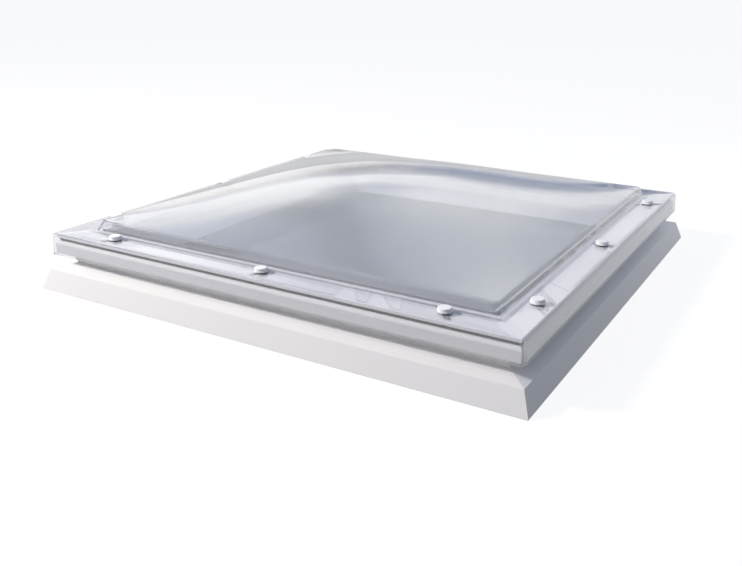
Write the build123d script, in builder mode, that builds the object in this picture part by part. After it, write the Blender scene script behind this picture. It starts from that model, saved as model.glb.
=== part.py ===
from build123d import *
import math
import os

# Fixed dome rooflight: a clear double-skin dome screwed to a white frame, on a splayed kerb.
# Millimetres. The origin is the middle of the plan, on the plane that the kerb's foot stands on.
# +X runs along the front, +Y to the back, +Z up. "out" is measured outwards from the opening.

# Plan
opening = 860.0              # clear opening of the kerb and the lower frame
dome_overhang = 70.0         # of the outer skin's flange past the opening, on each side

# Kerb, a hollow extrusion that is mitred and welded at its corners
kerb_seat_z = 22.0           # underside that sits on top of the roof upstand
kerb_edge_z = 40.5           # outer edge of the sloping shelf
kerb_neck_z = 50.0           # foot of the upright neck
kerb_top_z = 73.0
kerb_foot_out = 92.0
kerb_edge_out = 77.0
kerb_neck_out = 39.0
upstand_out = 69.0           # inside of the skirt that laps over the upstand
upstand_lead = 5.0           # that it widens by at the foot
kerb_wall = 3.0
kerb_edge_radius = 0.8       # along its outer edges

# Lower frame
kerb_seal = 2.0              # compressed thickness of the seal between kerb and frame
kerb_seal_inset = 6.0        # of that seal, from both sides of the neck
frame_height = 23.5
band_step = 2.0              # how far the band stands out past the lip above it
frame_wall = 3.0
band_chamber = 15.5          # from the web to the face of the band
frame_shoulder = 7.0         # radius along the top of the band
frame_edge_radius = 1.0

# Glazing frame
lip_height = 6.5
lip_radius = 1.0
lip_overhang = 15.5          # of the lip past its body, above the black gasket
ledge = 12.0                 # how far it stands into the opening
ledge_height = 4.0
ledge_slope = 2.0
glazing_wall = 3.0
skin_gap = 3.5               # from the edge of its lip to the inside of the skirt

# Black gasket between the frames
gasket_height = 7.0
gasket_set_back = 6.0        # behind the edge of the lip
gasket_bulge = 1.5
gasket_clearance = 0.2

# Outer skin
skin = 3.0
flange_width = 60.0          # from the edge to the foot of the step
skirt_depth = 43.0
skirt_draft = 4.5            # degrees
skirt_corner = 9.0
skirt_bend = 5.0             # outer radius between flange and skirt
step_height = 20.0
step_draft = 24.0            # degrees
step_corner = 10.0
step_foot_radius = 2.0
step_rim_radius = 6.0
crown_rise = 62.0

# Inner skin
inner_skin = 2.5
inner_edge_gap = 5.0         # from its edge to the inside of the outer step
inner_flange = 11.0
inner_step = 9.0
inner_draft = 20.0           # degrees
inner_corner = 8.0
inner_foot_radius = 1.5
inner_rim_radius = 4.0
inner_rise = 46.0

# Tapes under both skins
outer_tape_width = 8.0
outer_tape_depth = 1.5       # of its groove in the glazing frame
inner_tape_width = 6.0
inner_tape_height = 1.5
tape_inset = 2.0             # of the inner tape, from the edge of the inner skin
tape_clearance = 0.1

# Fixings through the flange
fixing_inset = 34.0          # from the edge of the flange
fixing_pitch = 356.0
fixings_per_side = 3
shank_radius = 2.75
shank_length = 34.0
point_length = 5.0
point_taper = 24.0           # degrees
pilot_clearance = 0.1        # round the shank in the frames
skin_hole_clearance = 1.25   # round the shank in the skin, which moves with heat
head_flange_radius = 7.0
head_flange_height = 1.1
head_across_flats = 8.0
head_height = 3.2
washer_radius = 10.6
washer_thickness = 1.8
bore_clearance = 0.3         # round the shank in the washer and the cap

# Two-piece caps over the fixings
cap_radius = 12.4
cap_height = 3.2
cap_floor = 1.4
cap_rim = 1.6
cap_edge_radius = 0.8
lid_radius = 11.6
lid_height = 4.2
lid_wall = 1.4
lid_bevel = 1.8
lid_spigot_depth = 1.4
lid_clearance = 0.2

# Screws from the lower frame down into the kerb
clamp_pitch = 400.0
clamp_out = 20.0
clamp_radius = 2.4
clamp_length = 24.0
clamp_head_radius = 4.6
clamp_head_height = 2.6
clamp_access_radius = 6.0

# Holes that fix the kerb down to the upstand, and the drains of its chambers
upstand_pitch = 640.0
upstand_hole_radius = 3.25
upstand_access_radius = 6.0
drain_radius = 2.5
drain_pitch = 300.0

# Weld lines at the mitres
weld_width = 1.0
weld_depth = 0.5

# Levels and half sizes that follow
half_opening = opening / 2
half_dome = half_opening + dome_overhang
frame_z = kerb_top_z + kerb_seal
frame_top_z = frame_z + frame_height
lip_z = frame_top_z + gasket_height
plate_z = lip_z + lip_height
flange_z = plate_z + skin
plate_out = dome_overhang - skin - skin_gap
body_out = plate_out - lip_overhang
frame_out = plate_out + band_step
frame_web_out = frame_out - band_chamber
step_half = half_dome - flange_width
inner_edge_half = step_half - skin - inner_edge_gap
inner_step_half = inner_edge_half - inner_flange
inner_z = plate_z + inner_tape_height + inner_skin
fixing_half = half_dome - fixing_inset

# Section plane in the middle of the front side: local x runs outwards and local y up
section = Plane(origin=(0, -half_opening, 0), x_dir=(0, -1, 0), z_dir=(-1, 0, 0))

# Line round the opening that the mitred sections follow, from the middle of the front
with BuildLine() as mitred_path:
    Polyline(
        (0, -half_opening),
        (-half_opening, -half_opening),
        (-half_opening, half_opening),
        (half_opening, half_opening),
        (half_opening, -half_opening),
        (0, -half_opening),
    )


def wall_block(x_low, x_high, z_low, z_high, mode=Mode.ADD):
    """Rectangle of a section, from its limits."""
    with Locations(((x_low + x_high) / 2, (z_low + z_high) / 2)):
        Rectangle(x_high - x_low, z_high - z_low, mode=mode)


def on_each_side(half, pitch, count):
    """Places on the four sides of a square, evenly spaced about the middle of each."""
    offsets = [(index - (count - 1) / 2) * pitch for index in range(count)]
    return [side * Location((0, offset, 0)) for side in PolarLocations(half, 4) for offset in offsets]


def drill(places, radius, z_low, z_high):
    """Cut upright holes at places, from one level to another, in the part that is open."""
    with BuildSketch(Plane.XY.offset(z_low)) as holes:
        with Locations(*places):
            Circle(radius)
    extrude(holes.sketch, amount=z_high - z_low, mode=Mode.SUBTRACT)


def crown_surface(half, level, rise):
    """Free-blown crown: at level where x or y is half, and level + rise in the middle."""
    reach = half + skin
    edge = 1 - (reach / half) ** 2
    row = ((-reach, edge), (0, 2 - edge), (reach, edge))
    return Face.make_bezier_surface([[(x, y, level + rise * a * b) for y, b in row] for x, a in row])


def dome_form(half, level, height, draft, corner, rise, rim_radius):
    """Solid under one side of a skin: a drafted step with a crown on it."""
    rim_half = half - height * math.tan(math.radians(draft))
    spare = height / 3
    core_half = rim_half * math.sqrt(1 - spare / rise / 2)
    crown = crown_surface(rim_half, level + height, rise)
    with BuildPart() as form:
        with BuildSketch(Plane.XY.offset(level)):
            Rectangle(2 * half, 2 * half)
        extrude(amount=height + spare, taper=draft)
        with BuildSketch(Plane.XY.offset(level)):
            Rectangle(2 * core_half, 2 * core_half)
        extrude(amount=height + 2 * rise)
        extrude(crown, amount=3 * rise, dir=(0, 0, 1), mode=Mode.SUBTRACT)
        fillet(form.edges().sort_by(SortBy.LENGTH)[:4], corner)
        fillet(form.faces().sort_by(Axis.Z)[-1].edges(), rim_radius)
    return form.part


def foot_inset(thickness, draft):
    """How far the foot of a drafted step moves in on the far side of a sheet."""
    angle = math.radians(draft)
    return thickness * (1 - math.sin(angle)) / math.cos(angle)


def skirt_form(half, top, corner, bend):
    """Drafted block that the flange and the weathering skirt wrap."""
    spread = skirt_depth * math.tan(math.radians(skirt_draft))
    with BuildPart() as form:
        with BuildSketch(Plane.XY.offset(top - skirt_depth)):
            RectangleRounded(2 * (half + spread), 2 * (half + spread), corner)
        extrude(amount=skirt_depth, taper=skirt_draft)
        fillet(form.faces().sort_by(Axis.Z)[-1].edges(), bend)
    return form.part


def outer_form(inset):
    """Solid inside the top side of the outer skin, or inside its underside when inset by the skin."""
    level = flange_z - inset
    half = step_half - foot_inset(inset, step_draft)
    corner = step_corner - inset
    with BuildPart() as form:
        add(skirt_form(half_dome - inset, level, skirt_corner - inset, skirt_bend - inset))
        add(dome_form(half, level, step_height, step_draft, corner, crown_rise, step_rim_radius - inset))
        at_level = form.edges().filter_by_position(Axis.Z, level, level)
        foot = at_level.filter_by(lambda edge: max(abs(edge.center().X), abs(edge.center().Y)) <= half)
        fillet(foot, step_foot_radius + inset)
    return form.part


def lip_edges(part):
    """Round edges of the highest face of a turned piece."""
    return part.faces().sort_by(Axis.Z)[-1].edges()


fixings = on_each_side(fixing_half, fixing_pitch, fixings_per_side)
clamps = on_each_side(half_opening + clamp_out, clamp_pitch, 2)
upstand_fixings = on_each_side(half_opening + clamp_out, upstand_pitch, 2)

# Kerb: seat, lapping skirt, splayed face, sloping shelf and neck round three chambers
with BuildPart() as kerb:
    with BuildSketch(section) as kerb_section:
        Polygon(
            (0, kerb_seat_z),
            (upstand_out, kerb_seat_z),
            (upstand_out + upstand_lead, 0),
            (kerb_foot_out, 0),
            (kerb_edge_out, kerb_edge_z),
            (kerb_neck_out, kerb_neck_z),
            (kerb_neck_out, kerb_top_z),
            (0, kerb_top_z),
            align=None,
        )
        fillet(kerb_section.vertices(), kerb_edge_radius)
        offset(amount=-kerb_wall, kind=Kind.INTERSECTION, mode=Mode.SUBTRACT)
        wall_block(kerb_neck_out - kerb_wall, kerb_neck_out, kerb_seat_z, kerb_neck_z)
        wall_block(upstand_out, upstand_out + kerb_wall, kerb_seat_z, kerb_edge_z)
    sweep(path=mitred_path.line, transition=Transition.RIGHT)
    drill(upstand_fixings, upstand_hole_radius, kerb_seat_z, kerb_seat_z + kerb_wall)
    drill(upstand_fixings, upstand_access_radius, kerb_top_z - kerb_wall, kerb_top_z)
    drill(clamps, clamp_radius + pilot_clearance, kerb_top_z - kerb_wall, kerb_top_z)
    shelf_drains = on_each_side(half_opening + (kerb_neck_out + upstand_out) / 2, drain_pitch, 2)
    drill(shelf_drains, drain_radius, kerb_seat_z, kerb_seat_z + kerb_wall)
    foot_middle = (upstand_out + upstand_lead + kerb_foot_out) / 2
    foot_drains = on_each_side(half_opening + foot_middle, drain_pitch, 2)
    drill(foot_drains, drain_radius, 0, kerb_wall)
    for turn in range(4):
        mitre = Vector(1, 1).rotate(Axis.Z, 90 * turn)
        low = mitre * (half_opening + kerb_edge_out) + Vector(0, 0, kerb_edge_z)
        high = mitre * (half_opening + kerb_neck_out) + Vector(0, 0, kerb_neck_z)
        run = high - low
        across = run.cross(Vector(0, 0, 1))
        with BuildSketch(Plane(origin=(low + high) / 2, x_dir=run, z_dir=across.cross(run))):
            Rectangle(run.length, weld_width)
        extrude(amount=-weld_depth, mode=Mode.SUBTRACT)
kerb.part.label = "kerb"

# Seal between the kerb and the lower frame
with BuildPart() as kerb_seal_ring:
    with BuildSketch(section):
        wall_block(kerb_seal_inset, kerb_neck_out - kerb_seal_inset, kerb_top_z, frame_z)
    sweep(path=mitred_path.line, transition=Transition.RIGHT)
    drill(upstand_fixings + clamps, upstand_access_radius, kerb_top_z, frame_z)
kerb_seal_ring.part.label = "kerb_seal"

# Lower frame: the white band with its rounded shoulder, on two chambers
with BuildPart() as lower_frame:
    with BuildSketch(section) as frame_section:
        wall_block(0, frame_out, frame_z, frame_top_z)
        corners = frame_section.vertices().sort_by(lambda corner: corner.X + corner.Y)
        fillet(corners[-1], frame_shoulder)
        fillet(corners[:-1], frame_edge_radius)
        offset(amount=-frame_wall, kind=Kind.INTERSECTION, mode=Mode.SUBTRACT)
        wall_block(frame_web_out, frame_web_out + frame_wall, frame_z, frame_top_z)
    sweep(path=mitred_path.line, transition=Transition.RIGHT)
    drill(fixings, shank_radius + pilot_clearance, frame_top_z - frame_wall, frame_top_z)
    drill(clamps, clamp_access_radius, frame_top_z - frame_wall, frame_top_z)
    drill(clamps, clamp_radius + pilot_clearance, frame_z, frame_z + frame_wall)
    band_drains = on_each_side(half_opening + (frame_web_out + frame_out) / 2, drain_pitch, 2)
    drill(band_drains, drain_radius, frame_z, frame_z + frame_wall)
lower_frame.part.label = "lower_frame"

# Black gasket that shows as the dark line between band and lip
with BuildPart() as gasket:
    with BuildSketch(section):
        back = body_out + gasket_clearance
        front = plate_out - gasket_set_back
        bulge = (front + gasket_bulge, (frame_top_z + lip_z) / 2)
        with BuildLine():
            Polyline((front, frame_top_z), (back, frame_top_z), (back, lip_z), (front, lip_z))
            ThreePointArc((front, lip_z), bulge, (front, frame_top_z))
        make_face()
    sweep(path=mitred_path.line, transition=Transition.RIGHT)
gasket.part.label = "frame_gasket"

# Glazing frame: plate with a thin lip, hollow body and a ledge into the opening
outer_tape_out = step_half + step_foot_radius - half_opening
with BuildPart() as glazing_frame:
    with BuildSketch(section) as glazing_section:
        Polygon(
            (-ledge, plate_z),
            (plate_out, plate_z),
            (plate_out, lip_z),
            (body_out, lip_z),
            (body_out, frame_top_z),
            (0, frame_top_z),
            (0, plate_z - ledge_height - ledge_slope),
            (-ledge, plate_z - ledge_height),
            align=None,
        )
        fillet(glazing_section.vertices().group_by(Axis.X)[-1], lip_radius)
        wall_block(
            glazing_wall,
            body_out - glazing_wall,
            frame_top_z + glazing_wall,
            plate_z - glazing_wall,
            mode=Mode.SUBTRACT,
        )
        wall_block(
            outer_tape_out,
            outer_tape_out + outer_tape_width,
            plate_z - outer_tape_depth,
            plate_z,
            mode=Mode.SUBTRACT,
        )
    sweep(path=mitred_path.line, transition=Transition.RIGHT)
    drill(fixings, shank_radius + pilot_clearance, frame_top_z, plate_z)
    mitre_half = half_opening + (plate_out - ledge) / 2
    with BuildSketch(Plane.XY.offset(plate_z)):
        with PolarLocations(mitre_half * math.sqrt(2), 4, start_angle=45):
            Rectangle((plate_out + ledge) * math.sqrt(2) + 2 * weld_width, weld_width)
    extrude(amount=-weld_depth, mode=Mode.SUBTRACT)
glazing_frame.part.label = "glazing_frame"

# Tape under the outer skin, in the groove round the foot of its step
with BuildPart() as outer_tape:
    tape_low = half_opening + outer_tape_out + tape_clearance
    tape_high = half_opening + outer_tape_out + outer_tape_width - tape_clearance
    with BuildSketch(Plane.XY.offset(plate_z - outer_tape_depth)):
        Rectangle(2 * tape_high, 2 * tape_high)
        Rectangle(2 * tape_low, 2 * tape_low, mode=Mode.SUBTRACT)
    extrude(amount=outer_tape_depth)
outer_tape.part.label = "outer_tape"

# Tape that bonds the inner skin to the glazing frame
with BuildPart() as inner_tape:
    tape_high = inner_edge_half - tape_inset
    tape_low = tape_high - inner_tape_width
    with BuildSketch(Plane.XY.offset(plate_z)):
        Rectangle(2 * tape_high, 2 * tape_high)
        Rectangle(2 * tape_low, 2 * tape_low, mode=Mode.SUBTRACT)
    extrude(amount=inner_tape_height)
inner_tape.part.label = "inner_tape"

# Inner skin: narrow flange, low step and a shallower crown
with BuildPart() as inner_dome:
    with BuildSketch(Plane.XY.offset(inner_z - inner_skin)):
        RectangleRounded(2 * inner_edge_half, 2 * inner_edge_half, inner_corner)
    extrude(amount=inner_skin)
    for inset, mode in ((0, Mode.ADD), (inner_skin, Mode.SUBTRACT)):
        form = dome_form(
            inner_step_half - foot_inset(inset, inner_draft),
            inner_z - inset,
            inner_step,
            inner_draft,
            inner_corner - inset,
            inner_rise,
            inner_rim_radius - inset,
        )
        add(form, mode=mode)
    at_level = inner_dome.edges().filter_by_position(Axis.Z, inner_z, inner_z)
    foot = at_level.filter_by(lambda edge: max(abs(edge.center().X), abs(edge.center().Y)) <= inner_step_half)
    fillet(foot, inner_foot_radius)
inner_dome.part.label = "inner_dome"

# Outer skin: crown, step, flange and weathering skirt in one sheet
with BuildPart() as outer_dome:
    add(outer_form(0))
    add(outer_form(skin), mode=Mode.SUBTRACT)
    drill(fixings, shank_radius + skin_hole_clearance, plate_z, flange_z)
outer_dome.part.label = "outer_dome"


def washer(plane):
    """Sealing washer under a cap."""
    with BuildPart() as piece:
        with BuildSketch(plane):
            Circle(washer_radius)
            Circle(shank_radius + bore_clearance, mode=Mode.SUBTRACT)
        extrude(amount=washer_thickness)
    return piece.part


def cap_base(plane):
    """Cup that the screw head sits in."""
    with BuildPart() as piece:
        with BuildSketch(plane):
            Circle(cap_radius)
        extrude(amount=cap_height)
        fillet(lip_edges(piece), cap_edge_radius)
        with BuildSketch(plane.offset(cap_floor)):
            Circle(cap_radius - cap_rim)
        extrude(amount=cap_height - cap_floor, mode=Mode.SUBTRACT)
        with BuildSketch(plane):
            Circle(shank_radius + bore_clearance)
        extrude(amount=cap_floor, mode=Mode.SUBTRACT)
    return piece.part


def cap_lid(plane):
    """Lid that snaps into the cup, with a bevelled edge."""
    with BuildPart() as piece:
        with BuildSketch(plane):
            Circle(lid_radius)
        extrude(amount=lid_height)
        fillet(lip_edges(piece), lid_bevel)
        spigot = cap_radius - cap_rim - lid_clearance
        with BuildSketch(plane.offset(-lid_spigot_depth)):
            Circle(spigot)
        extrude(amount=lid_spigot_depth)
        with BuildSketch(plane.offset(-lid_spigot_depth)):
            Circle(spigot - lid_wall)
        extrude(amount=lid_spigot_depth + lid_height - lid_wall, mode=Mode.SUBTRACT)
    return piece.part


def dome_screw(plane):
    """Hexagon screw with a flange under its head and a drill point."""
    with BuildPart() as piece:
        with BuildSketch(plane):
            Circle(head_flange_radius)
        extrude(amount=head_flange_height)
        with BuildSketch(plane.offset(head_flange_height)):
            RegularPolygon(head_across_flats / 2, 6, major_radius=False)
        extrude(amount=head_height)
        with BuildSketch(plane):
            Circle(shank_radius)
        extrude(amount=point_length - shank_length)
        with BuildSketch(plane.offset(point_length - shank_length)):
            Circle(shank_radius)
        extrude(amount=-point_length, taper=point_taper)
    return piece.part


def clamp_screw(plane):
    """Pan-head screw from the lower frame down into the kerb."""
    with BuildPart() as piece:
        with BuildSketch(plane):
            Circle(clamp_head_radius)
        extrude(amount=clamp_head_height)
        fillet(lip_edges(piece), clamp_head_radius - clamp_radius)
        with BuildSketch(plane):
            Circle(clamp_radius)
        extrude(amount=point_length - clamp_length)
        with BuildSketch(plane.offset(point_length - clamp_length)):
            Circle(clamp_radius)
        extrude(amount=-point_length, taper=point_taper)
    return piece.part


# Fixings: washer on the flange, cup on the washer, screw head in the cup and lid on the cup
seats = [Plane(place).offset(flange_z) for place in fixings]
cap_seats = [seat.offset(washer_thickness) for seat in seats]
head_seats = [Plane(place).offset(frame_z + frame_wall) for place in clamps]
with BuildPart() as sealing_washers:
    add([washer(seat) for seat in seats])
sealing_washers.part.label = "sealing_washers"
with BuildPart() as fixing_screws:
    add([dome_screw(seat.offset(cap_floor)) for seat in cap_seats])
fixing_screws.part.label = "fixing_screws"
with BuildPart() as clamp_screws:
    add([clamp_screw(seat) for seat in head_seats])
clamp_screws.part.label = "clamp_screws"

pieces = [
    kerb.part,
    kerb_seal_ring.part,
    lower_frame.part,
    gasket.part,
    glazing_frame.part,
    outer_tape.part,
    inner_tape.part,
    inner_dome.part,
    outer_dome.part,
    sealing_washers.part,
    fixing_screws.part,
    clamp_screws.part,
]
for number, seat in enumerate(cap_seats, 1):
    base = cap_base(seat)
    base.label = f"cap_base_{number:02d}"
    lid = cap_lid(seat.offset(cap_height))
    lid.label = f"cap_lid_{number:02d}"
    pieces += [base, lid]

os.makedirs("parts", exist_ok=True)
for piece in pieces:
    export_step(piece, f"parts/{piece.label}.step")
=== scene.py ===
import math

import bmesh
import bpy
from mathutils import Euler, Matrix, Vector


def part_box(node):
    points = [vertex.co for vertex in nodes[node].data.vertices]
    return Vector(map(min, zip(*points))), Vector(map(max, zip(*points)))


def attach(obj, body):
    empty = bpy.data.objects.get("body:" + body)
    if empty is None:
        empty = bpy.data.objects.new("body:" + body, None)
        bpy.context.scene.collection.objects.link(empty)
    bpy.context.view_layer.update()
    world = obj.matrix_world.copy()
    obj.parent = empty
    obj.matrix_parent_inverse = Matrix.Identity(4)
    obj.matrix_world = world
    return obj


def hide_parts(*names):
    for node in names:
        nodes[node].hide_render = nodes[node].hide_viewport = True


# A fixed dome rooflight: two clear skins on a white frame and a splayed kerb.
# Metres, in the frame of the CAD model: +X along the front, +Y to the back, +Z up.

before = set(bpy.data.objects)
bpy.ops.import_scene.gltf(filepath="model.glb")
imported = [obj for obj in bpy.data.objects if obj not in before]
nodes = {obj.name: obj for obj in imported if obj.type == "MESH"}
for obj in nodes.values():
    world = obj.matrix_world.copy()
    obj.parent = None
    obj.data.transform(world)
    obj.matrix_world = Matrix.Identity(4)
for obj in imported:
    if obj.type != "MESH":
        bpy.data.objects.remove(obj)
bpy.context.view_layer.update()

MM = 0.001
POLYCARBONATE_INDEX = 1.585
SHEET_BODY_INDEX = 1.12
WHITE_PLASTIC_INDEX = 1.53


def linear(hex_colour):
    """sRGB hex to the linear red, green, blue and alpha that Blender wants."""
    channels = [int(hex_colour[i:i + 2], 16) / 255 for i in (1, 3, 5)]
    return [c / 12.92 if c <= 0.04045 else ((c + 0.055) / 1.055) ** 2.4 for c in channels] + [1.0]


def add_node(tree, kind, settings=None, **inputs):
    """Add a node, set its own settings, then set or link its inputs by name, or by number as _0, _1."""
    made = tree.nodes.new(kind)
    for name, value in (settings or {}).items():
        setattr(made, name, value)
    for name, value in inputs.items():
        socket = made.inputs[int(name[1:]) if name[1:].isdigit() else name.replace("_", " ")]
        if isinstance(value, bpy.types.NodeSocket):
            tree.links.new(value, socket)
        else:
            socket.default_value = value
    return made


def new_material(name):
    """Empty node material and its output."""
    material = bpy.data.materials.new(name)
    material.use_nodes = True
    material.node_tree.nodes.clear()
    output = material.node_tree.nodes.new("ShaderNodeOutputMaterial")
    return material, material.node_tree, output


DUST = 0.05
WAVE_DEPTH_MM = 0.35


# Clear polycarbonate, thermoformed: glassy, with the slow waves that a heated sheet keeps and a
# trace of dust. So thin a sheet hardly bends what lies behind it, so its body has a low index, and
# its gloss is a coat with polycarbonate's own. Lamps and daylight pass straight through, to light
# what is under it, and passes is what each of the sheet's two faces lets by.
def clear_polycarbonate(name, tint, passes, wave_mm):
    material, tree, output = new_material(name)
    place = add_node(tree, "ShaderNodeTexCoord").outputs["Object"]
    waves = add_node(
        tree, "ShaderNodeTexNoise", Vector=place, Scale=1 / (wave_mm * MM), Detail=1.5, Roughness=0.4,
    )
    bump = add_node(
        tree, "ShaderNodeBump", Strength=1.0, Distance=WAVE_DEPTH_MM * MM, Height=waves.outputs["Fac"],
    )
    glass = add_node(
        tree, "ShaderNodeBsdfPrincipled",
        Base_Color=linear(tint), Roughness=0.0, IOR=SHEET_BODY_INDEX, Transmission_Weight=1 - DUST,
        Coat_Weight=1.0, Coat_Roughness=0.01, Coat_IOR=POLYCARBONATE_INDEX,
        Normal=bump.outputs["Normal"], Coat_Normal=bump.outputs["Normal"],
    )
    open_air = add_node(tree, "ShaderNodeBsdfTransparent", Color=linear(passes))
    path = add_node(tree, "ShaderNodeLightPath")
    lamp_or_bounce = add_node(
        tree, "ShaderNodeMath", {"operation": "MAXIMUM"},
        _0=path.outputs["Is Shadow Ray"], _1=path.outputs["Is Diffuse Ray"],
    )
    mix = add_node(
        tree, "ShaderNodeMixShader",
        _0=lamp_or_bounce.outputs[0], _1=glass.outputs[0], _2=open_air.outputs[0],
    )
    tree.links.new(mix.outputs[0], output.inputs["Surface"])
    return material


CLOUD_MM = 160
GRAIN_MM = 2.5
GRAIN_DEPTH_MM = 0.05
GLOSS_SPREAD = 0.05


# White plastic, extruded or moulded: satin, clouded a little between two near whites, with a fine
# grain that breaks up its gloss.
def white_plastic(name, colour, shade, roughness):
    material, tree, output = new_material(name)
    place = add_node(tree, "ShaderNodeTexCoord").outputs["Object"]
    cloud = add_node(tree, "ShaderNodeTexNoise", Vector=place, Scale=1 / (CLOUD_MM * MM), Detail=3.0)
    tone = add_node(
        tree, "ShaderNodeMix", {"data_type": "RGBA"},
        Factor=cloud.outputs["Fac"], A=linear(colour), B=linear(shade),
    )
    grain = add_node(tree, "ShaderNodeTexNoise", Vector=place, Scale=1 / (GRAIN_MM * MM), Detail=2.0)
    rough = add_node(
        tree, "ShaderNodeMapRange",
        Value=grain.outputs["Fac"], To_Min=roughness - GLOSS_SPREAD, To_Max=roughness + GLOSS_SPREAD,
    )
    bump = add_node(
        tree, "ShaderNodeBump",
        Strength=0.15, Distance=GRAIN_DEPTH_MM * MM, Height=grain.outputs["Fac"],
    )
    shader = add_node(
        tree, "ShaderNodeBsdfPrincipled",
        Base_Color=tone.outputs["Result"], Roughness=rough.outputs[0], IOR=WHITE_PLASTIC_INDEX,
        Normal=bump.outputs["Normal"],
    )
    tree.links.new(shader.outputs[0], output.inputs["Surface"])
    return material


SEAL_GRAIN_DEPTH_MM = 0.2


# Rubber, foam and butyl: matt, with a shallow grain that keeps highlights dull.
def soft_seal(name, colour, grain_mm, roughness):
    material, tree, output = new_material(name)
    place = add_node(tree, "ShaderNodeTexCoord").outputs["Object"]
    grain = add_node(tree, "ShaderNodeTexNoise", Vector=place, Scale=1 / (grain_mm * MM), Detail=3.0)
    bump = add_node(
        tree, "ShaderNodeBump",
        Strength=0.4, Distance=SEAL_GRAIN_DEPTH_MM * MM, Height=grain.outputs["Fac"],
    )
    shader = add_node(
        tree, "ShaderNodeBsdfPrincipled",
        Base_Color=linear(colour), Roughness=roughness, Normal=bump.outputs["Normal"],
    )
    tree.links.new(shader.outputs[0], output.inputs["Surface"])
    return material


MOTTLE_MM = 1.5


# Bright zinc plate on steel: blue-white, with a mottle of duller and brighter spots.
def zinc_plate(name):
    material, tree, output = new_material(name)
    place = add_node(tree, "ShaderNodeTexCoord").outputs["Object"]
    mottle = add_node(tree, "ShaderNodeTexNoise", Vector=place, Scale=1 / (MOTTLE_MM * MM), Detail=2.0)
    rough = add_node(tree, "ShaderNodeMapRange", Value=mottle.outputs["Fac"], To_Min=0.25, To_Max=0.4)
    shader = add_node(
        tree, "ShaderNodeBsdfPrincipled",
        Base_Color=linear("#C9CDD2"), Metallic=1.0, Roughness=rough.outputs[0],
    )
    tree.links.new(shader.outputs[0], output.inputs["Surface"])
    return material


# Clear sheet with a trace of blue, and longer waves in the shallower inner one
outer_clear = clear_polycarbonate("polycarbonate_sheet_outer", "#F9FAFB", "#F3F3F6", 90)
inner_clear = clear_polycarbonate("polycarbonate_sheet_inner", "#F9FAFB", "#EFF0F2", 120)
# Extruded uPVC, a slightly warm satin white, and moulded nylon, whiter with a duller gloss
upvc = white_plastic("upvc_extruded_white", "#F1F0EE", "#ECECEB", 0.32)
nylon = white_plastic("nylon_moulded_white", "#FBFBFA", "#F8F8F7", 0.38)
# Extruded EPDM, near black, pressed foam, dark grey and flat, and butyl tape, pale with a faint sheen
epdm = soft_seal("epdm_extruded_black", "#161616", 1.2, 0.6)
foam = soft_seal("closed_cell_foam_dark", "#2A2A2B", 0.9, 0.8)
tape = soft_seal("butyl_tape_pale", "#A9ACAF", 1.5, 0.55)
zinc = zinc_plate("zinc_plated_steel")

finish = {
    "kerb": upvc,
    "lower_frame": upvc,
    "glazing_frame": upvc,
    "frame_gasket": epdm,
    "sealing_washers": epdm,
    "kerb_seal": foam,
    "outer_tape": tape,
    "inner_tape": tape,
    "fixing_screws": zinc,
    "clamp_screws": zinc,
}
for name, piece in nodes.items():
    material = nylon if name.startswith("cap_") else finish.get(name)
    if material:
        for place in piece.material_slots:
            place.material = material


# The two skins are replaced by finer sheets of the same form.
SIDE_STEPS = 64
CORNER_STEPS = 8
FOOT_STEPS = 5
RIM_STEPS = 7
CROWN_STEPS = 44


def outline(half, radius):
    """Rounded square as (x, y, outward x, outward y), the same number of points at every size."""
    points = []
    for side in range(4):
        turn = side * math.pi / 2
        straight = half - radius
        local = [(half, straight * (2 * i / SIDE_STEPS - 1), 0.0) for i in range(SIDE_STEPS)]
        for i in range(CORNER_STEPS):
            angle = math.pi / 2 * i / CORNER_STEPS
            local.append((straight + radius * math.cos(angle), straight + radius * math.sin(angle), angle))
        for x, y, angle in local:
            points.append((
                x * math.cos(turn) - y * math.sin(turn),
                x * math.sin(turn) + y * math.cos(turn),
                math.cos(turn + angle),
                math.sin(turn + angle),
            ))
    return points


def level_ring(half, radius, z):
    """Ring of the sheet at one level."""
    return [Vector((x, y, z)) for x, y, _, _ in outline(half, radius)]


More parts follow.
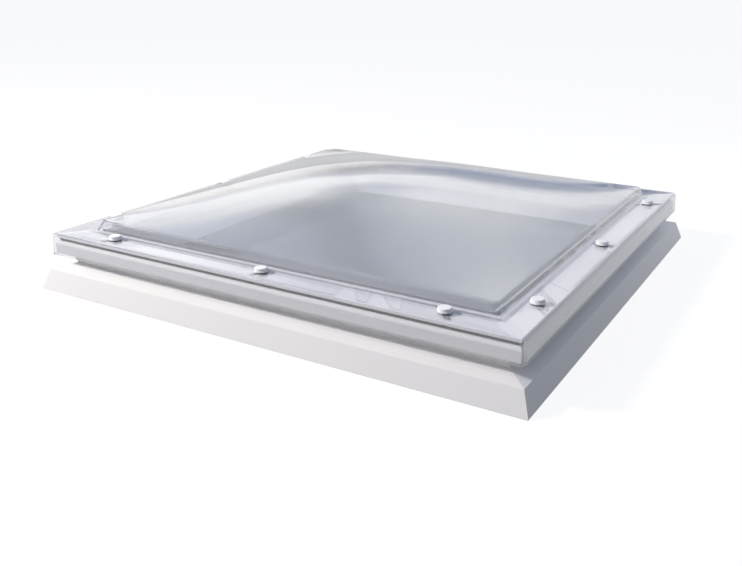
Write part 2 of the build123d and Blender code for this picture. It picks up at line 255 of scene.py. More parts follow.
def dome_rings(form):
    """Rings from the flange inwards: foot fillet, drafted step, rim fillet and the crown, still flat."""
    draft = math.radians(form["draft"])
    rings = []
    foot = form["foot_radius"]
    foot_half = form["half"] + foot / math.tan((math.pi / 2 + draft) / 2)
    for i in range(FOOT_STEPS + 1):
        angle = -math.pi / 2 - (math.pi / 2 - draft) * i / FOOT_STEPS
        half = foot_half + foot * math.cos(angle)
        z = form["flange_z"] + foot * (1 + math.sin(angle))
        rings.append(level_ring(half, form["corner"] + half - form["half"], z))
    rim_half = form["half"] - form["step"] * math.tan(draft)
    rim_z = form["flange_z"] + form["step"]
    rise = form["apex_z"] - rim_z
    fillet_rings = [[] for _ in range(RIM_STEPS + 1)]
    for x, y, out_x, out_y in outline(rim_half, form["corner"]):
        along = min(max((1 - (x / rim_half) ** 2) + (1 - (y / rim_half) ** 2), 0), 1)
        slope = math.atan(2 * rise / rim_half * along)
        turn = math.pi / 2 - draft - slope
        reach = form["rim_radius"] * math.tan(turn / 2)
        start = Vector((reach * math.sin(draft), -reach * math.cos(draft)))
        centre = start + form["rim_radius"] * Vector((-math.cos(draft), -math.sin(draft)))
        for i, ring in enumerate(fillet_rings):
            angle = draft + turn * i / RIM_STEPS
            offset = centre + form["rim_radius"] * Vector((math.cos(angle), math.sin(angle)))
            ring.append(Vector((x + out_x * offset.x, y + out_y * offset.x, rim_z + offset.y)))
    rings += fillet_rings
    crown_starts = len(rings)
    for i in range(1, CROWN_STEPS):
        share = 1 - i / CROWN_STEPS
        rings.append(level_ring((rim_half - form["rim_radius"] / 2) * share, form["corner"] * share, rim_z))
    return rings, crown_starts, {"Half Width": rim_half, "Rim Level": rim_z, "Rise": rise}


def new_object(name, data):
    """Object in the scene, at the origin."""
    made = bpy.data.objects.new(name, data)
    bpy.context.scene.collection.objects.link(made)
    return made


def new_tree(name, inputs):
    """Empty geometry tree with named inputs, its input and output nodes."""
    tree = bpy.data.node_groups.new(name, "GeometryNodeTree")
    tree.interface.new_socket(name="Geometry", in_out="INPUT", socket_type="NodeSocketGeometry")
    for label, kind in inputs.items():
        tree.interface.new_socket(name=label, in_out="INPUT", socket_type=kind)
    tree.interface.new_socket(name="Geometry", in_out="OUTPUT", socket_type="NodeSocketGeometry")
    return tree, tree.nodes.new("NodeGroupInput"), tree.nodes.new("NodeGroupOutput")


def run_tree(piece, tree, values):
    """Put the tree on the piece and set its inputs by their identifiers."""
    made = piece.modifiers.new(tree.name, "NODES")
    made.node_group = tree
    for item in tree.interface.items_tree:
        if item.in_out == "INPUT" and item.name in values:
            made[item.identifier] = values[item.name]


def blown_crown():
    """Tree that blows the crown up: a parabola both ways, nothing along the rim, most in the middle."""
    tree, given, made = new_tree("blown_crown", {
        "Half Width": "NodeSocketFloat", "Rim Level": "NodeSocketFloat",
        "Rise": "NodeSocketFloat", "Sheet": "NodeSocketMaterial",
    })
    place = add_node(tree, "GeometryNodeInputPosition").outputs[0]
    across = add_node(
        tree, "ShaderNodeVectorMath", {"operation": "DIVIDE"}, _0=place, _1=given.outputs["Half Width"],
    )
    squared = add_node(
        tree, "ShaderNodeVectorMath", {"operation": "MULTIPLY"},
        _0=across.outputs[0], _1=across.outputs[0],
    )
    left = add_node(
        tree, "ShaderNodeVectorMath", {"operation": "SUBTRACT"},
        _0=(1.0, 1.0, 1.0), _1=squared.outputs[0],
    )
    both_ways = add_node(tree, "ShaderNodeSeparateXYZ", Vector=left.outputs[0])
    bulge = add_node(
        tree, "ShaderNodeMath", {"operation": "MULTIPLY"},
        _0=both_ways.outputs["X"], _1=both_ways.outputs["Y"],
    )
    level = add_node(
        tree, "ShaderNodeMath", {"operation": "MULTIPLY_ADD"},
        _0=bulge.outputs[0], _1=given.outputs["Rise"], _2=given.outputs["Rim Level"],
    )
    flat = add_node(tree, "ShaderNodeSeparateXYZ", Vector=place)
    risen = add_node(
        tree, "ShaderNodeCombineXYZ", X=flat.outputs["X"], Y=flat.outputs["Y"], Z=level.outputs[0],
    )
    in_crown = add_node(tree, "GeometryNodeInputNamedAttribute", {"data_type": "BOOLEAN"}, Name="crown")
    blown = add_node(
        tree, "GeometryNodeSetPosition",
        Geometry=given.outputs["Geometry"], Selection=in_crown.outputs[0], Position=risen.outputs[0],
    )
    whole = add_node(tree, "GeometryNodeRealizeInstances", Geometry=blown.outputs[0])
    clear = add_node(
        tree, "GeometryNodeSetMaterial", Geometry=whole.outputs[0], Material=given.outputs["Sheet"],
    )
    tree.links.new(clear.outputs[0], made.inputs[0])
    return tree


crown_tree = blown_crown()


def sheet(name, rings, dome, thickness, material):
    """Closed sheet of even thickness: edge rings outside, then a dome whose crown the tree blows up."""
    inner_rings, crown_starts, crown = dome
    crown_starts += len(rings)
    form = bmesh.new()
    in_crown = form.verts.layers.bool.new("crown")
    loops = [[form.verts.new(point) for point in ring] for ring in rings + inner_rings]
    count = len(loops[0])
    for outer, inner in zip(loops, loops[1:]):
        for i in range(count):
            j = (i + 1) % count
            form.faces.new((outer[i], outer[j], inner[j], inner[i]))
    top = form.verts.new((0, 0, crown["Rim Level"]))
    for i in range(count):
        form.faces.new((loops[-1][i], loops[-1][(i + 1) % count], top))
    for ring in loops[crown_starts:] + [[top]]:
        for point in ring:
            point[in_crown] = True
    for face in form.faces:
        face.smooth = True
    mesh = bpy.data.meshes.new(name)
    form.to_mesh(mesh)
    form.free()
    mesh.materials.append(material)
    piece = new_object(name, mesh)
    run_tree(piece, crown_tree, {**crown, "Sheet": material})
    solid = piece.modifiers.new("thickness", "SOLIDIFY")
    solid.thickness = thickness
    solid.offset = -1
    solid.use_even_offset = True
    solid.use_quality_normals = True
    return piece


def apply_modifiers(piece):
    """Turn the modified shape into the piece's plain mesh."""
    made = bpy.data.meshes.new_from_object(piece.evaluated_get(bpy.context.evaluated_depsgraph_get()))
    piece.modifiers.clear()
    old = piece.data
    piece.data = made
    bpy.data.meshes.remove(old)


def on_each_side(half, pitch, count):
    """Places on the four sides, count to a side and pitch apart."""
    along = [(i - (count - 1) / 2) * pitch for i in range(count)]
    return [place for t in along for place in ((t, -half), (t, half), (-half, t), (half, t))]


def at_places(name, places, z):
    """Object of single points, for a tree to set pieces on."""
    mesh = bpy.data.meshes.new(name)
    mesh.from_pydata([(x, y, z) for x, y in places], [], [])
    return new_object(name, mesh)


# Outer skin, sized from the CAD node's box and laid on the glazing frame's plate
skirt_low, skirt_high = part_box("outer_dome")
plate_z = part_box("glazing_frame")[1].z
OUTER_SKIN = 3.0 * MM
FLANGE_WIDTH = 60.0 * MM
SKIRT_DRAFT = math.radians(4.5)
SKIRT_CORNER = 9.0 * MM
SMALLEST_CORNER = 0.4 * MM
SKIRT_BEND = 5.0 * MM
SKIRT_STEPS = 4
BEND_STEPS = 6
flange_z = plate_z + OUTER_SKIN
skirt_half = skirt_high.x
flange_half = skirt_half - (flange_z - skirt_low.z) * math.tan(SKIRT_DRAFT)


def skirt_rings():
    """Rings up the drafted skirt and round its bend to the flange."""
    rings = []
    bend_turn = math.pi / 2 - SKIRT_DRAFT
    bend_reach = SKIRT_BEND * math.tan(bend_turn / 2)
    bend_half = flange_half - bend_reach
    bend_start_z = flange_z - bend_reach * math.cos(SKIRT_DRAFT)
    for i in range(SKIRT_STEPS + 1):
        z = skirt_low.z + (bend_start_z - skirt_low.z) * i / SKIRT_STEPS
        half = flange_half + (flange_z - z) * math.tan(SKIRT_DRAFT)
        rings.append(level_ring(half, SKIRT_CORNER - skirt_half + half, z))
    for i in range(1, BEND_STEPS + 1):
        angle = SKIRT_DRAFT + bend_turn * i / BEND_STEPS
        half = bend_half + SKIRT_BEND * math.cos(angle)
        z = flange_z - SKIRT_BEND * (1 - math.sin(angle))
        rings.append(level_ring(half, max(SKIRT_CORNER - skirt_half + half, SMALLEST_CORNER), z))
    return rings


outer_form = {
    "half": flange_half - FLANGE_WIDTH,
    "flange_z": flange_z,
    "apex_z": skirt_high.z,
    "step": 20.0 * MM,
    "draft": 24.0,
    "corner": 10.0 * MM,
    "foot_radius": 2.0 * MM,
    "rim_radius": 6.0 * MM,
}
outer_sheet = sheet("outer_skin_sheet", skirt_rings(), dome_rings(outer_form), OUTER_SKIN, outer_clear)
apply_modifiers(outer_sheet)

# Its oversize screw holes
FIXING_INSET = 34.0 * MM
FIXING_PITCH = 356.0 * MM
FIXINGS_ON_A_SIDE = 3
SKIN_HOLE_RADIUS = 4.0 * MM
HOLE_SIDES = 32
fixings = on_each_side(skirt_half - FIXING_INSET, FIXING_PITCH, FIXINGS_ON_A_SIDE)


def drill_holes(piece, places, z, radius, depth):
    """Cut round holes through a level part of the piece, with their middles at z."""
    form = bmesh.new()
    for x, y in places:
        cutter = bmesh.ops.create_cone(
            form, cap_ends=True, segments=HOLE_SIDES, radius1=radius, radius2=radius, depth=depth,
        )
        bmesh.ops.translate(form, verts=cutter["verts"], vec=(x, y, z))
    drill_mesh = bpy.data.meshes.new("drill")
    form.to_mesh(drill_mesh)
    form.free()
    drill = new_object("drill", drill_mesh)
    holes = piece.modifiers.new("screw_holes", "BOOLEAN")
    holes.object = drill
    holes.solver = "EXACT"
    apply_modifiers(piece)
    bpy.data.objects.remove(drill)
    bpy.data.meshes.remove(drill_mesh)


drill_holes(outer_sheet, fixings, flange_z - OUTER_SKIN / 2, SKIN_HOLE_RADIUS, 4 * OUTER_SKIN)

# Inner skin, sized in the same way
edge_low, edge_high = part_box("inner_dome")
INNER_SKIN = 2.5 * MM
INNER_FLANGE = 11.0 * MM
INNER_CORNER = 8.0 * MM
inner_form = {
    "half": edge_high.x - INNER_FLANGE,
    "flange_z": edge_low.z + INNER_SKIN,
    "apex_z": edge_high.z,
    "step": 9.0 * MM,
    "draft": 20.0,
    "corner": INNER_CORNER,
    "foot_radius": 1.5 * MM,
    "rim_radius": 4.0 * MM,
}
edge = level_ring(edge_high.x, INNER_CORNER, inner_form["flange_z"])
inner_sheet = sheet("inner_skin_sheet", [edge], dome_rings(inner_form), INNER_SKIN, inner_clear)
apply_modifiers(inner_sheet)

# Screws
THREAD_SIDES = 24
FLANGE_SIDES = 40
WELD = 0.002 * MM


def threaded_screw():
    """Tree that sets a screw on every point: a strip rolled into a threaded shank, a flange and a head."""
    sizes = (
        "Shank Radius", "Shank Length", "Point Length", "Point Slope", "Thread Pitch", "Thread Depth",
        "Flange Radius", "Flange Height", "Head Radius", "Head Top Radius", "Head Height",
    )
    tree, given, made = new_tree("threaded_screw", {
        **{size: "NodeSocketFloat" for size in sizes},
        "Thread Rows": "NodeSocketInt", "Head Sides": "NodeSocketInt", "Plating": "NodeSocketMaterial",
    })
    strip = add_node(
        tree, "GeometryNodeMeshGrid",
        Size_X=1.0, Size_Y=1.0, Vertices_X=THREAD_SIDES + 1, Vertices_Y=given.outputs["Thread Rows"],
    )
    place = add_node(tree, "GeometryNodeInputPosition").outputs[0]
    flat = add_node(tree, "ShaderNodeSeparateXYZ", Vector=place)
    around = add_node(
        tree, "ShaderNodeMath", {"operation": "MULTIPLY"}, _0=flat.outputs["X"], _1=2 * math.pi,
    )
    share = add_node(tree, "ShaderNodeMath", {"operation": "SUBTRACT"}, _0=0.5, _1=flat.outputs["Y"])
    down = add_node(
        tree, "ShaderNodeMath", {"operation": "MULTIPLY"},
        _0=share.outputs[0], _1=given.outputs["Shank Length"],
    )
    turns = add_node(
        tree, "ShaderNodeMath", {"operation": "DIVIDE"},
        _0=down.outputs[0], _1=given.outputs["Thread Pitch"],
    )
    phase = add_node(
        tree, "ShaderNodeMath", {"operation": "ADD"}, _0=turns.outputs[0], _1=flat.outputs["X"],
    )
    doubled = add_node(tree, "ShaderNodeMath", {"operation": "MULTIPLY"}, _0=phase.outputs[0], _1=2.0)
    flank = add_node(tree, "ShaderNodeMath", {"operation": "PINGPONG"}, _0=doubled.outputs[0], _1=1.0)
    groove = add_node(
        tree, "ShaderNodeMath", {"operation": "MULTIPLY"},
        _0=flank.outputs[0], _1=given.outputs["Thread Depth"],
    )
    grooved = add_node(
        tree, "ShaderNodeMath", {"operation": "SUBTRACT"},
        _0=given.outputs["Shank Radius"], _1=groove.outputs[0],
    )
    point_from = add_node(
        tree, "ShaderNodeMath", {"operation": "SUBTRACT"},
        _0=given.outputs["Shank Length"], _1=given.outputs["Point Length"],
    )
    past = add_node(
        tree, "ShaderNodeMath", {"operation": "SUBTRACT"}, _0=down.outputs[0], _1=point_from.outputs[0],
    )
    in_point = add_node(tree, "ShaderNodeMath", {"operation": "MAXIMUM"}, _0=past.outputs[0], _1=0.0)
    taper = add_node(
        tree, "ShaderNodeMath", {"operation": "MULTIPLY"},
        _0=in_point.outputs[0], _1=given.outputs["Point Slope"],
    )
    tapered = add_node(
        tree, "ShaderNodeMath", {"operation": "SUBTRACT"}, _0=grooved.outputs[0], _1=taper.outputs[0],
    )
    # 1 on every row but the first and the last, which close the shank to a point
    between_ends = add_node(
        tree, "ShaderNodeMath", {"operation": "COMPARE"}, _0=flat.outputs["Y"], _1=0.0, _2=0.4999,
    )
    closed = add_node(
        tree, "ShaderNodeMath", {"operation": "MULTIPLY"},
        _0=tapered.outputs[0], _1=between_ends.outputs[0],
    )
    radius = add_node(tree, "ShaderNodeMath", {"operation": "MAXIMUM"}, _0=closed.outputs[0], _1=0.0)
    cosine = add_node(tree, "ShaderNodeMath", {"operation": "COSINE"}, _0=around.outputs[0])
    sine = add_node(tree, "ShaderNodeMath", {"operation": "SINE"}, _0=around.outputs[0])
    thread_x = add_node(
        tree, "ShaderNodeMath", {"operation": "MULTIPLY"}, _0=radius.outputs[0], _1=cosine.outputs[0],
    )
    thread_y = add_node(
        tree, "ShaderNodeMath", {"operation": "MULTIPLY"}, _0=radius.outputs[0], _1=sine.outputs[0],
    )
    thread_z = add_node(tree, "ShaderNodeMath", {"operation": "MULTIPLY"}, _0=down.outputs[0], _1=-1.0)
    wrapped = add_node(
        tree, "ShaderNodeCombineXYZ",
        X=thread_x.outputs[0], Y=thread_y.outputs[0], Z=thread_z.outputs[0],
    )
    rolled = add_node(
        tree, "GeometryNodeSetPosition", Geometry=strip.outputs["Mesh"], Position=wrapped.outputs[0],
    )
    shank = add_node(tree, "GeometryNodeMergeByDistance", Geometry=rolled.outputs[0], Distance=WELD)
    washer_face = add_node(
        tree, "GeometryNodeMeshCylinder",
        Vertices=FLANGE_SIDES, Radius=given.outputs["Flange Radius"], Depth=given.outputs["Flange Height"],
    )
    half_flange = add_node(
        tree, "ShaderNodeMath", {"operation": "MULTIPLY"}, _0=given.outputs["Flange Height"], _1=0.5,
    )
    flange_up = add_node(tree, "ShaderNodeCombineXYZ", Z=half_flange.outputs[0])
    flange = add_node(
        tree, "GeometryNodeTransform",
        Geometry=washer_face.outputs["Mesh"], Translation=flange_up.outputs[0],
    )
    drive = add_node(
        tree, "GeometryNodeMeshCone",
        Vertices=given.outputs["Head Sides"], Radius_Top=given.outputs["Head Top Radius"],
        Radius_Bottom=given.outputs["Head Radius"], Depth=given.outputs["Head Height"],
    )
    head_up = add_node(tree, "ShaderNodeCombineXYZ", Z=given.outputs["Flange Height"])
    head = add_node(
        tree, "GeometryNodeTransform", Geometry=drive.outputs["Mesh"], Translation=head_up.outputs[0],
    )
    one_screw = tree.nodes.new("GeometryNodeJoinGeometry")
    for part in (shank, flange, head):
        tree.links.new(part.outputs[0], one_screw.inputs[0])
    repeated = add_node(
        tree, "GeometryNodeInstanceOnPoints",
        Points=given.outputs["Geometry"], Instance=one_screw.outputs[0],
    )
    whole = add_node(tree, "GeometryNodeRealizeInstances", Geometry=repeated.outputs[0])
    plated = add_node(
        tree, "GeometryNodeSetMaterial", Geometry=whole.outputs[0], Material=given.outputs["Plating"],
    )
    tree.links.new(plated.outputs[0], made.inputs[0])
    return tree


screw_tree = threaded_screw()


def screw_set(name, places, top, sizes):
    """Screws of one kind at their places, with the tops of their heads level with top."""
    piece = at_places(name, places, top - sizes["Flange Height"] - sizes["Head Height"])
    run_tree(piece, screw_tree, {**sizes, "Plating": zinc})
    apply_modifiers(piece)
    return piece


POINT_SLOPE = math.tan(math.radians(24))
HEX_ACROSS_FLATS = 8.0 * MM
HEX_CORNER = HEX_ACROSS_FLATS / 2 / math.cos(math.pi / 6)
CLAMP_HALF = 450.0 * MM
CLAMP_PITCH = 400.0 * MM
CLAMPS_ON_A_SIDE = 2

# About six rows to each turn of the thread. Fixing screws have hexagon heads, clamp screws pan heads.
fixing_set = screw_set("fixing_screw_set", fixings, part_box("fixing_screws")[1].z, {
    "Shank Radius": 2.75 * MM, "Shank Length": 34.0 * MM,
    "Point Length": 5.0 * MM, "Point Slope": POINT_SLOPE,
    "Thread Pitch": 1.8 * MM, "Thread Depth": 0.5 * MM, "Thread Rows": 115,
    "Flange Radius": 7.0 * MM, "Flange Height": 1.1 * MM,
    "Head Sides": 6, "Head Radius": HEX_CORNER, "Head Top Radius": HEX_CORNER, "Head Height": 3.2 * MM,
})
clamps = on_each_side(CLAMP_HALF, CLAMP_PITCH, CLAMPS_ON_A_SIDE)
clamp_set = screw_set("clamp_screw_set", clamps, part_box("clamp_screws")[1].z, {
    "Shank Radius": 2.4 * MM, "Shank Length": 24.0 * MM,
    "Point Length": 5.0 * MM, "Point Slope": POINT_SLOPE,
    "Thread Pitch": 1.6 * MM, "Thread Depth": 0.45 * MM, "Thread Rows": 91,
    "Flange Radius": 4.6 * MM, "Flange Height": 1.2 * MM,
    "Head Sides": 40, "Head Radius": 4.6 * MM, "Head Top Radius": 2.6 * MM, "Head Height": 1.4 * MM,
})

for piece, node, slot in (
    (outer_sheet, "outer_dome", "outer_skin"),
    (inner_sheet, "inner_dome", "inner_skin"),
    (fixing_set, "fixing_screws", "zinc_steel"),
    (clamp_set, "clamp_screws", "zinc_steel"),
):
    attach(piece, "root")
    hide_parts(node)

GLOSS_SHARE = 0.6   # of the white background, as seen in a gloss


def background_rays(tree):
    """1 for rays that show the white background, straight or through the skins, and less in a gloss."""
    path = add_node(tree, "ShaderNodeLightPath")
    straight = add_node(
        tree, "ShaderNodeMath", {"operation": "MAXIMUM"},
        _0=path.outputs["Is Camera Ray"], _1=path.outputs["Is Transmission Ray"],
    )
    shared = add_node(
        tree, "ShaderNodeMath", {"operation": "MULTIPLY"},
        _0=path.outputs["Is Glossy Ray"], _1=GLOSS_SHARE,
    )
    return add_node(
        tree, "ShaderNodeMath", {"operation": "MAXIMUM"}, _0=straight.outputs[0], _1=shared.outputs[0],
    ).outputs[0]


# Floor: a matt sheet that runs out past the view and looks white, with the object's shadow on it.
# Inside the kerb it is plain grey ground, which only gets the daylight that the skins let through.
FLOOR_RADIUS = 60.0
FLOOR_SIDES = 64
FLOOR_DROP = 0.2 * MM   # under the kerb's foot, so that the two faces don't fight
FLOOR_GLOW = 0.90
GROUND_HALF = 0.505
GROUND_INSIDE = "#777C84"
GROUND_OUTSIDE = "#66676A"


def floor_matt_white():
    """Grey ground inside the kerb, and outside it a white glow over ground that takes the shadow."""
    material, tree, output = new_material("floor_matt_white")
    place = add_node(tree, "ShaderNodeTexCoord").outputs["Object"]
    reach = add_node(tree, "ShaderNodeVectorMath", {"operation": "ABSOLUTE"}, _0=place)
    sides = add_node(tree, "ShaderNodeSeparateXYZ", Vector=reach.outputs[0])
    farther = add_node(
        tree, "ShaderNodeMath", {"operation": "MAXIMUM"}, _0=sides.outputs["X"], _1=sides.outputs["Y"],
    )
    outside = add_node(
        tree, "ShaderNodeMath", {"operation": "GREATER_THAN"}, _0=farther.outputs[0], _1=GROUND_HALF,
    )
    seen = add_node(
        tree, "ShaderNodeMath", {"operation": "MULTIPLY"},
        _0=background_rays(tree), _1=outside.outputs[0],
    )
    glow_level = add_node(
        tree, "ShaderNodeMath", {"operation": "MULTIPLY"}, _0=seen.outputs[0], _1=FLOOR_GLOW,
    )
    ground_tone = add_node(
        tree, "ShaderNodeMix", {"data_type": "RGBA"},
        _0=outside.outputs[0], A=linear(GROUND_INSIDE), B=linear(GROUND_OUTSIDE),
    )
    ground = add_node(tree, "ShaderNodeBsdfDiffuse", Color=ground_tone.outputs["Result"])
    glow = add_node(tree, "ShaderNodeEmission", Color=(1, 1, 1, 1), Strength=glow_level.outputs[0])
    both = add_node(tree, "ShaderNodeAddShader", _0=ground.outputs[0], _1=glow.outputs[0])
    tree.links.new(both.outputs[0], output.inputs["Surface"])
    return material


form = bmesh.new()
bmesh.ops.create_circle(form, cap_ends=True, segments=FLOOR_SIDES, radius=FLOOR_RADIUS)
bmesh.ops.translate(form, verts=form.verts, vec=(0, 0, -FLOOR_DROP))
floor_mesh = bpy.data.meshes.new("floor")
form.to_mesh(floor_mesh)
form.free()
floor_mesh.materials.append(floor_matt_white())
floor = new_object("floor", floor_mesh)

# Daylight: a grey-brown line of far trees, a bright strip over them and banks of pale cloud above,
# brighter on the left, white at the horizon. The bands, banks and spots were placed one by one, until
# what the crown mirrors came near the photo's.
SKY_STRENGTH = 1.5
SUNNY_STRENGTH = 1.1 * SKY_STRENGTH
FAR_STRENGTH = 0.45 * SKY_STRENGTH
SUN_SIDE = (-0.9, 0.05, 0.25)
SHADE_SHARE = 0.65   # of the sky, as light on matt surfaces
WHITE_BELOW = 0.02   # height at which the horizon's white starts to fade in a gloss
SKY_ABOVE = 0.10
BANK_SCALE = 2.1
BANK_FLATNESS = 2.6
BANK_LIFT = 0.03     # how far the bands rise and dip
TREE_TONE = "#6F6866"
TREE_SCALE = 14.0
TREE_STRETCH = 0.35  # under 1, so that the trees stand taller than wide
TREES_THIN = 0.12    # height at which the trees start to thin out
TREES_END = 0.22
TREES_SHARE = 0.7
# Height, 0 at the horizon and 1 overhead, and the colour there
SKY_BANDS = (
    (0.00, "#98969A"),
    (0.10, "#9C9AA0"),
    (0.20, "#A0A2AC"),
    (0.23, "#E0E0E4"),
    (0.30, "#E0E1E5"),
    (0.34, "#A0A4B1"),
    (0.41, "#C0C6D2"),
    (0.47, "#B2B8C6"),
    (0.56, "#A6AFC2"),
    (0.72, "#98A3BA"),
    (1.00, "#7F8DA8"),
)
# Azimuth from +Y towards -X, elevation and spread in degrees, colour of the cloud or gap, its share
SKY_SPOTS = (
    (44, 0, 15, "#F6F3F1", 0.65),
    (41, 18, 10, "#FFFFFF", 1.00),
    (47, 27, 12, "#FFFFFF", 0.90),
    (39, 36, 14, "#3E4D68", 0.95),
    (18, 4, 13, "#48597C", 1.00),
    (20, 24, 9, "#FFFFFF", 0.45),
    (20, 33, 15, "#FAFCFF", 0.60),
    (54, 35, 12, "#C0D0F0", 0.60),
    (13, 20, 6, "#FFFFFF", 0.50),
    (29, 42, 8, "#C8D4EA", 0.60),
    (33, 23, 6, "#8A90A0", 0.50),
)


def sky_colour(tree, direction, sides):
    """Bands of cloud that rise and dip, far trees low down at the back, then the spots one by one."""
    flattened = add_node(
        tree, "ShaderNodeVectorMath", {"operation": "MULTIPLY"},
        _0=direction, _1=(1.0, 1.0, BANK_FLATNESS),
    )
    banks = add_node(
        tree, "ShaderNodeTexNoise",
        Vector=flattened.outputs[0], Scale=BANK_SCALE, Detail=4.0, Roughness=0.5,
    )
    lift = add_node(
        tree, "ShaderNodeMapRange", Value=banks.outputs["Fac"], From_Min=0.3, From_Max=0.7,
        To_Min=-BANK_LIFT, To_Max=BANK_LIFT,
    )
    banked = add_node(
        tree, "ShaderNodeMath", {"operation": "ADD"}, _0=sides.outputs["Z"], _1=lift.outputs[0],
    )
    ramp = add_node(tree, "ShaderNodeValToRGB", Fac=banked.outputs[0])
    bands = ramp.color_ramp.elements
    for position, colour in SKY_BANDS[1:-1]:
        bands.new(position)
    for band, (position, colour) in zip(bands, SKY_BANDS):
        band.position = position
        band.color = linear(colour)
    twigs = add_node(
        tree, "ShaderNodeVectorMath", {"operation": "MULTIPLY"},
        _0=direction, _1=(1.0, 1.0, TREE_STRETCH),
    )
    trees = add_node(
        tree, "ShaderNodeTexNoise",
        Vector=twigs.outputs[0], Scale=TREE_SCALE, Detail=3.0, Roughness=0.6,
    )
    trees_low = add_node(
        tree, "ShaderNodeMapRange", {"interpolation_type": "SMOOTHSTEP"}, Value=sides.outputs["Z"],
        From_Min=TREES_THIN, From_Max=TREES_END, To_Min=TREES_SHARE, To_Max=0.0,
    )
    trees_behind = add_node(
        tree, "ShaderNodeMapRange", Value=sides.outputs["Y"],
        From_Min=0.3, From_Max=0.6, To_Min=0.0, To_Max=trees_low.outputs[0],
    )
    trees_share = add_node(
        tree, "ShaderNodeMapRange", Value=trees.outputs["Fac"], From_Min=0.42, From_Max=0.62,
        To_Min=0.0, To_Max=trees_behind.outputs[0],
    )
    sky = add_node(
        tree, "ShaderNodeMix", {"data_type": "RGBA"},
        _0=trees_share.outputs[0], A=ramp.outputs[0], B=linear(TREE_TONE),
    ).outputs["Result"]
    for azimuth, elevation, spread, colour, share in SKY_SPOTS:
        low, turn = math.radians(elevation), math.radians(azimuth)
        middle = (-math.sin(turn) * math.cos(low), math.cos(turn) * math.cos(low), math.sin(low))
        nearness = add_node(
            tree, "ShaderNodeVectorMath", {"operation": "DOT_PRODUCT"}, _0=direction, _1=middle,
        )
        spot = add_node(
            tree, "ShaderNodeMapRange", {"interpolation_type": "SMOOTHSTEP"},
            Value=nearness.outputs["Value"],
            From_Min=math.cos(math.radians(spread)), From_Max=1.0, To_Min=0.0, To_Max=share,
        )
        sky = add_node(
            tree, "ShaderNodeMix", {"data_type": "RGBA"},
            _0=spot.outputs[0], A=sky, B=linear(colour),
        ).outputs["Result"]
    return sky


def sky_strength(tree, direction, path):
    """More light from the sun's side, and less of it as light on matt surfaces."""
    towards_sun = add_node(
        tree, "ShaderNodeVectorMath", {"operation": "DOT_PRODUCT"}, _0=direction, _1=SUN_SIDE,
    )
    full = add_node(
        tree, "ShaderNodeMapRange", Value=towards_sun.outputs["Value"], From_Min=-0.8, From_Max=0.8,
        To_Min=FAR_STRENGTH, To_Max=SUNNY_STRENGTH,
    )
    shade_light = add_node(
        tree, "ShaderNodeMapRange", Value=path.outputs["Is Diffuse Ray"],
        From_Min=0.0, From_Max=1.0, To_Min=1.0, To_Max=SHADE_SHARE,
    )
    return add_node(
        tree, "ShaderNodeMath", {"operation": "MULTIPLY"}, _0=full.outputs[0], _1=shade_light.outputs[0],
    ).outputs[0]


def white_part(tree, height, path):
    """1 where a ray sees plain white, and part of that in a gloss near the horizon."""
    horizon = add_node(
        tree, "ShaderNodeMapRange",
        Value=height, From_Min=WHITE_BELOW, From_Max=SKY_ABOVE, To_Min=1.0, To_Max=0.0,
    )
    gloss = add_node(
        tree, "ShaderNodeMath", {"operation": "MULTIPLY"},
        _0=path.outputs["Is Glossy Ray"], _1=horizon.outputs[0],
    )
    straight = add_node(
        tree, "ShaderNodeMath", {"operation": "MAXIMUM"},
        _0=path.outputs["Is Camera Ray"], _1=path.outputs["Is Transmission Ray"],
    )
    seen = add_node(
        tree, "ShaderNodeMath", {"operation": "MULTIPLY_ADD"},
        _0=gloss.outputs[0], _1=GLOSS_SHARE, _2=straight.outputs[0],
    )
    return seen.outputs[0]


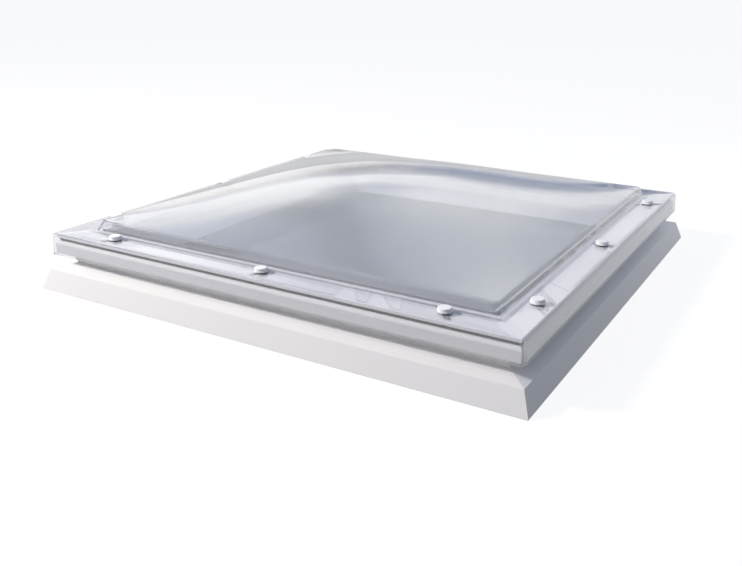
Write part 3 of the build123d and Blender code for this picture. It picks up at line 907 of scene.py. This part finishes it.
def hang_sky():
    """World of daylight, with plain white behind the object."""
    world = bpy.data.worlds.new("daylight")
    bpy.context.scene.world = world
    world.use_nodes = True
    tree = world.node_tree
    tree.nodes.clear()
    direction = add_node(tree, "ShaderNodeTexCoord").outputs["Generated"]
    sides = add_node(tree, "ShaderNodeSeparateXYZ", Vector=direction)
    path = add_node(tree, "ShaderNodeLightPath")
    daylight = add_node(
        tree, "ShaderNodeBackground",
        Color=sky_colour(tree, direction, sides), Strength=sky_strength(tree, direction, path),
    )
    white = add_node(tree, "ShaderNodeBackground", Color=(1, 1, 1, 1), Strength=1.0)
    seen = white_part(tree, sides.outputs["Z"], path)
    mix = add_node(
        tree, "ShaderNodeMixShader", _0=seen, _1=daylight.outputs[0], _2=white.outputs[0],
    )
    output = tree.nodes.new("ShaderNodeOutputWorld")
    tree.links.new(mix.outputs[0], output.inputs["Surface"])


hang_sky()


def softbox(name, place, target, width, height, watts, colour):
    """Area lamp at place that faces target, and is itself seen neither directly nor in a gloss."""
    lamp = bpy.data.lights.new(name, "AREA")
    lamp.shape = "RECTANGLE"
    lamp.size = width
    lamp.size_y = height
    lamp.energy = watts
    lamp.color = linear(colour)[:3]
    holder = new_object(name, lamp)
    holder.location = place
    holder.rotation_euler = (Vector(target) - Vector(place)).to_track_quat("-Z", "Y").to_euler()
    holder.visible_camera = False
    holder.visible_glossy = False
    holder.visible_transmission = False


softbox("key_left", (-2.62, -2.2, 2.6), (0, 0, 0.05), 0.4, 0.4, 172, "#FFF8F3")
softbox("fill_front", (-0.6, -4.6, 1.6), (0, 0, 0.05), 3.0, 2.0, 3, "#FFF0E6")
softbox("fill_right_back", (1.35, 1.5, 0.55), (0.52, 0.3, 0.03), 0.6, 0.6, 7, "#F4F7FF")

# Camera, solved from the photo's edges
FOCAL_PX = 838.6
IMAGE_WIDTH_PX = 742
SENSOR_MM = 36.0
CAMERA_PLACE = (0.8683, -1.5565, 0.6094)
CAMERA_PITCH = math.radians(20.422)
CAMERA_YAW = math.radians(30.594)
CAMERA_ROLL = math.radians(0.275)
CLIP_END = 200.0   # past the floor's far edge
lens = bpy.data.cameras.new("camera")
lens.sensor_width = SENSOR_MM
lens.lens = FOCAL_PX / IMAGE_WIDTH_PX * SENSOR_MM
lens.clip_end = CLIP_END
camera = new_object("camera", lens)
camera.location = CAMERA_PLACE
aim = Euler((math.pi / 2 - CAMERA_PITCH, 0, CAMERA_YAW))
aim.rotate_axis("Z", CAMERA_ROLL)
camera.rotation_euler = aim
bpy.context.scene.camera = camera
bpy.context.scene.view_settings.view_transform = "Standard"
